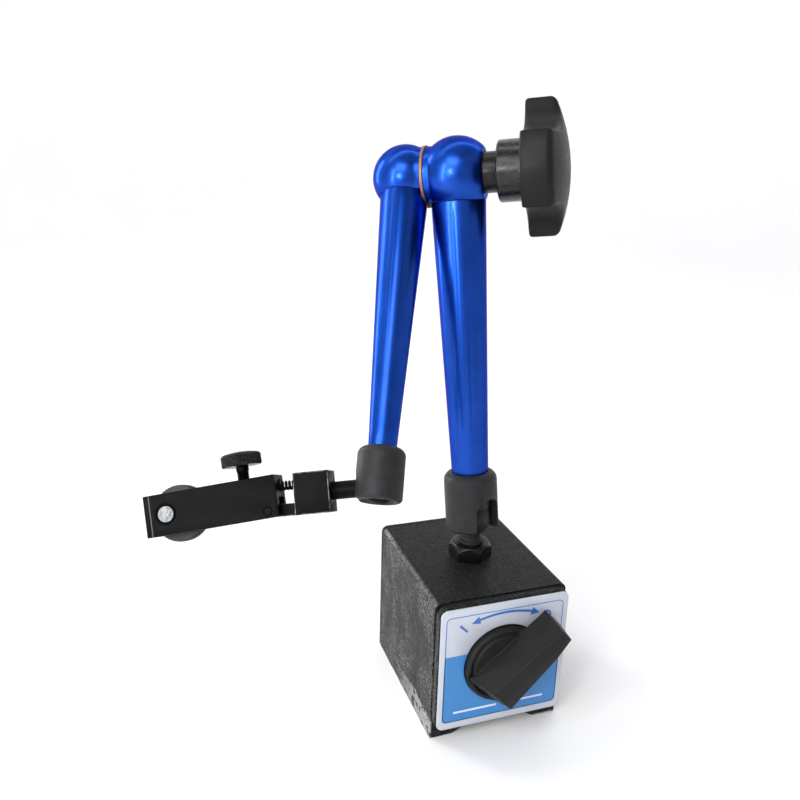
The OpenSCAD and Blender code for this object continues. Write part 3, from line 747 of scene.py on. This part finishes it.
def cover_screws(node, name):
    """Countersunk screws with hexagon sockets, at the corners of the CAD node's box."""
    low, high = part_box(node)
    head_r = SCREW_HEAD_R
    shank_r = SCREW_SHANK_R
    count = 48
    for number, (x, z) in enumerate((x, z) for x in (low.x + head_r, high.x - head_r)
                                    for z in (low.z + head_r, high.z - head_r)):
        rings = [circle(0.1 * MM, low.y - high.y, count), circle(shank_r, low.y - high.y, count)]
        rings += [circle(shank_r, -1.6 * MM, count), circle(head_r - 0.1 * MM, -0.2 * MM, count)]
        rings += [circle(head_r - 0.1 * MM, -0.08 * MM, count), circle(head_r - 0.2 * MM, 0, count)]
        rings += [hexagon(1.35 * MM, 0, count), hexagon(1.25 * MM, -0.12 * MM, count)]
        rings += [hexagon(1.25 * MM, -1.3 * MM, count), hexagon(0.1 * MM, -1.5 * MM, count)]
        place = Matrix.Translation((x, high.y, z)) @ Matrix.Rotation(math.radians(-90), 4, "X")
        stand_in(node, f"{name}_{number}", loft(name, rings, place), "base", zinc)


cover_screws("back_cover_screws", "back_cover_screw")


# ---------------------------------------------------------------- label

LABEL_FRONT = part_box("label_plate")[0].y
INK = 0.04 * MM
SWITCH_Z = joint_place("switch_turn").z
BORDER_HALF = 22.2 * MM
BORDER_LOW = 8.6 * MM
BORDER_HIGH = 51.2 * MM
BORDER_R = 1.8 * MM
FIELD_TOP = 35.8 * MM
KNOB_HOLE_R = 14.9 * MM
ARROW_CENTRE_Z = 14 * MM
ARROW_R = 36 * MM
ARROW_REACH = 21
ARROW_HEAD = 5.2
ARROW_HALF_WIDTH = 0.45 * MM
ARROW_HEAD_HALF_WIDTH = 1.5 * MM
BORDER_LINE = 0.3 * MM
MARK_X = 15.7 * MM
MARK_Z = 46.2 * MM
STROKE = 0.8 * MM
RULE_Z = 12.4 * MM


def arc(centre, radius, start, end, steps):
    angles = [math.radians(start + (end - start) * i / steps) for i in range(steps + 1)]
    return [(centre[0] + radius * math.cos(a), centre[1] + radius * math.sin(a)) for a in angles]


def rounded_box(half, low, high, radius):
    corners = ((half - radius, high - radius, 0), (radius - half, high - radius, 90),
               (radius - half, low + radius, 180), (half - radius, low + radius, 270))
    return [p for x, z, start in corners for p in arc((x, z), radius, start, start + 90, 6)]


def band(outer, inner):
    """Quadrilaterals between two outlines of equal length."""
    count = len(outer)
    return [[outer[i], outer[(i + 1) % count], inner[(i + 1) % count], inner[i]]
            for i in range(count)]


def label_piece(name, outlines, material, layer=1):
    mesh = prism(name, outlines, LABEL_FRONT - layer * INK, layer * INK)
    new_piece(name, mesh, "base", material)


def bar_outline(centre, length, width, turn):
    c, s = math.cos(math.radians(turn)), math.sin(math.radians(turn))
    corners = ((-length, -width), (length, -width), (length, width), (-length, width))
    return [(centre[0] + (x * c - z * s) / 2, centre[1] + (x * s + z * c) / 2) for x, z in corners]


def label():
    knob = (0, SWITCH_Z)
    side = math.degrees(math.asin((FIELD_TOP - SWITCH_Z) / KNOB_HOLE_R))
    field = [(-BORDER_HALF, FIELD_TOP)]
    field += arc((BORDER_R - BORDER_HALF, BORDER_LOW + BORDER_R), BORDER_R, 180, 270, 8)
    field += arc((BORDER_HALF - BORDER_R, BORDER_LOW + BORDER_R), BORDER_R, 270, 360, 8)
    field += [(BORDER_HALF, FIELD_TOP)]
    field += arc(knob, KNOB_HOLE_R, side, -180 - side, 60)
    label_piece("label_blue_field", [field], label_blue)

    line = BORDER_LINE
    outer = rounded_box(BORDER_HALF, BORDER_LOW, BORDER_HIGH, BORDER_R)
    inner = rounded_box(BORDER_HALF - line, BORDER_LOW + line, BORDER_HIGH - line, BORDER_R - line)
    label_piece("label_border", band(outer, inner), label_ink)

    half_width = ARROW_HALF_WIDTH
    turn_centre = (0, ARROW_CENTRE_Z)
    sweep = ARROW_REACH - ARROW_HEAD
    rim = arc(turn_centre, ARROW_R + half_width, 90 - sweep, 90 + sweep, 30)
    rim += reversed(arc(turn_centre, ARROW_R - half_width, 90 - sweep, 90 + sweep, 30))
    tips = []
    for way in (-1, 1):
        foot = 90 + way * sweep
        tips.append([arc(turn_centre, ARROW_R + ARROW_HEAD_HALF_WIDTH, foot, foot, 1)[0],
                     arc(turn_centre, ARROW_R, 90 + way * ARROW_REACH, 0, 1)[0],
                     arc(turn_centre, ARROW_R - ARROW_HEAD_HALF_WIDTH, foot, foot, 1)[0]])
    label_piece("label_arrow", [list(rim)] + tips, label_ink)

    marks = [bar_outline((-MARK_X, MARK_Z), 4 * MM, STROKE, 135)]
    ring_centre = (MARK_X, MARK_Z)
    marks += band(arc(ring_centre, 1.9 * MM, 0, 350, 35), arc(ring_centre, 1.2 * MM, 0, 350, 35))
    label_piece("label_marks", marks, label_ink)

    rules = [bar_outline((middle * MM, RULE_Z), length * MM, STROKE, 0)
             for middle, length in ((-9.75, 16.5), (9.5, 15))]
    label_piece("label_rules", rules, label_line, 2)


label()


# ---------------------------------------------------------------- stage, light and camera

def stage():
    """Pale round floor that curves up all round into a pale wall."""
    corner, wall, top = 0.8, 2.2, 3.0
    steps = 16
    rings = [circle(0.1, 0)]
    for i in range(steps + 1):
        angle = math.pi / 2 * i / steps
        radius = wall - corner + corner * math.sin(angle)
        rings.append(circle(radius, corner - corner * math.cos(angle)))
    rings.append(circle(wall, top))
    floor = bpy.data.objects.new("floor", loft("floor", rings, open_end=True))
    bpy.context.scene.collection.objects.link(floor)
    for face in floor.data.polygons:
        face.use_smooth = True
    look = Material("pale_floor", Roughness=0.7)
    look.drive("Base Color", look.blend(look.noise(0.4), (0.86, 0.86, 0.87), (0.9, 0.9, 0.9)))
    floor.data.materials.append(look.material)


def soft_box(name, place, target, size, power):
    """Rectangular area light, aimed at a target."""
    data = bpy.data.lights.new(name, "AREA")
    data.shape = "RECTANGLE"
    data.size, data.size_y = size
    data.energy = power
    light = bpy.data.objects.new(name, data)
    bpy.context.scene.collection.objects.link(light)
    light.location = place
    light.rotation_mode = "QUATERNION"
    light.rotation_quaternion = (Vector(target) - Vector(place)).to_track_quat("-Z", "Y")


def lights():
    bpy.context.scene.view_settings.view_transform = "Standard"
    world = bpy.data.worlds.new("studio")
    bpy.context.scene.world = world
    world.use_nodes = True
    world.node_tree.nodes["Background"].inputs["Color"].default_value = (0.9, 0.95, 1.0, 1)
    world.node_tree.nodes["Background"].inputs["Strength"].default_value = 0.1
    middle = (0, 0, 0.15)
    soft_box("window", (-0.75, -0.75, 1.1), middle, (0.8, 0.6), 8)
    soft_box("overhead", (0.1, 0.2, 1.15), middle, (2.0, 1.6), 3.2)
    soft_box("left_panel", (-0.8, 0.85, 0.25), middle, (0.3, 1.2), 9)
    soft_box("left_strip", (-0.9, -0.35, 0.25), middle, (0.1, 0.9), 5)
    soft_box("small_lamp", (-0.42, -0.4, 0.3), middle, (0.12, 0.12), 1.2)
    soft_box("wall_wash", (0.7, 0.6, 2.4), (0.7, 2.2, 0.9), (5.5, 0.8), 50)


def camera():
    level = Vector((math.sin(CAMERA_AZIMUTH), math.cos(CAMERA_AZIMUTH), 0))
    ahead = level * math.cos(CAMERA_DOWN) - Vector((0, 0, math.sin(CAMERA_DOWN)))
    right = Vector((level.y, -level.x, 0))
    up = right.cross(ahead)
    rolled_right = right * math.cos(CAMERA_ROLL) + up * math.sin(CAMERA_ROLL)
    rolled_up = up * math.cos(CAMERA_ROLL) - right * math.sin(CAMERA_ROLL)
    data = bpy.data.cameras.new("camera")
    data.lens = CAMERA_LENS
    data.sensor_width = CAMERA_SENSOR
    data.clip_start = 0.01
    obj = bpy.data.objects.new("camera", data)
    bpy.context.scene.collection.objects.link(obj)
    turn = Matrix((rolled_right, rolled_up, -ahead)).transposed().to_4x4()
    obj.matrix_world = Matrix.Translation(CAMERA_PLACE) @ turn
    bpy.context.scene.camera = obj


stage()
lights()
camera()
